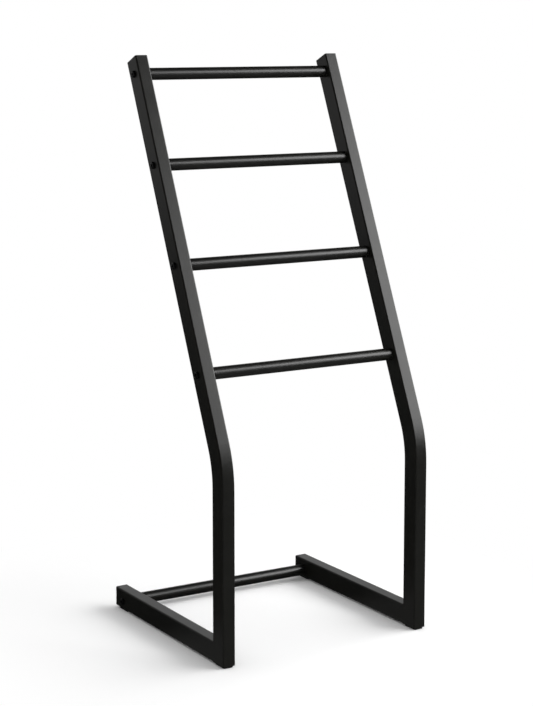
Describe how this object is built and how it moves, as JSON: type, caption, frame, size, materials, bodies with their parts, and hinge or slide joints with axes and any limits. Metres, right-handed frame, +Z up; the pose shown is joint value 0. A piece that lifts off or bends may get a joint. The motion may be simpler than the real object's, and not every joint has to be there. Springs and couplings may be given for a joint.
{
  "type": "freestanding towel stand",
  "caption": "Freestanding black steel towel stand: upright side frames that bend back above a straight post, joined by round rungs and a base bar.",
  "frame": {"origin": "on the floor, midway between the side frames and midway between the posts' front faces and the feet's rear ends", "axes": "+X to the viewer's right, +Y to the back, the way the upper frames lean, +Z up"},
  "size_m": [0.3566, 0.336, 0.8563],
  "materials": {
    "frame_coating": "fine satin black powder coat on rectangular steel tube",
    "bar_coating": "satin black powder coat on round steel tube",
    "cap_plastic": "matt black moulded plastic",
    "glide_plastic": "matt black moulded plastic",
    "plug_steel": "bright zinc-plated steel",
    "screw_steel": "black oxide on steel"
  },
  "bodies": {
    "root": {"base_bar": "bar_coating", "base_bar_plug_left": "plug_steel", "base_bar_plug_right": "plug_steel", "foot_cap_left": "cap_plastic", "foot_cap_right": "cap_plastic", "foot_left": "frame_coating", "foot_right": "frame_coating", "foot_weld_left": "frame_coating", "foot_weld_right": "frame_coating", "frame_screws": "screw_steel", "front_glide_left": "glide_plastic", "front_glide_right": "glide_plastic", "lowest_rung": "bar_coating", "lowest_rung_plug_left": "plug_steel", "lowest_rung_plug_right": "plug_steel", "post_plate_left": "frame_coating", "post_plate_right": "frame_coating", "rear_glide_left": "glide_plastic", "rear_glide_right": "glide_plastic", "second_rung": "bar_coating", "second_rung_plug_left": "plug_steel", "second_rung_plug_right": "plug_steel", "third_rung": "bar_coating", "third_rung_plug_left": "plug_steel", "third_rung_plug_right": "plug_steel", "top_cap_left": "cap_plastic", "top_cap_right": "cap_plastic", "top_rung": "bar_coating", "top_rung_plug_left": "plug_steel", "top_rung_plug_right": "plug_steel", "upright_left": "frame_coating", "upright_right": "frame_coating"}
  },
  "joints": []
}
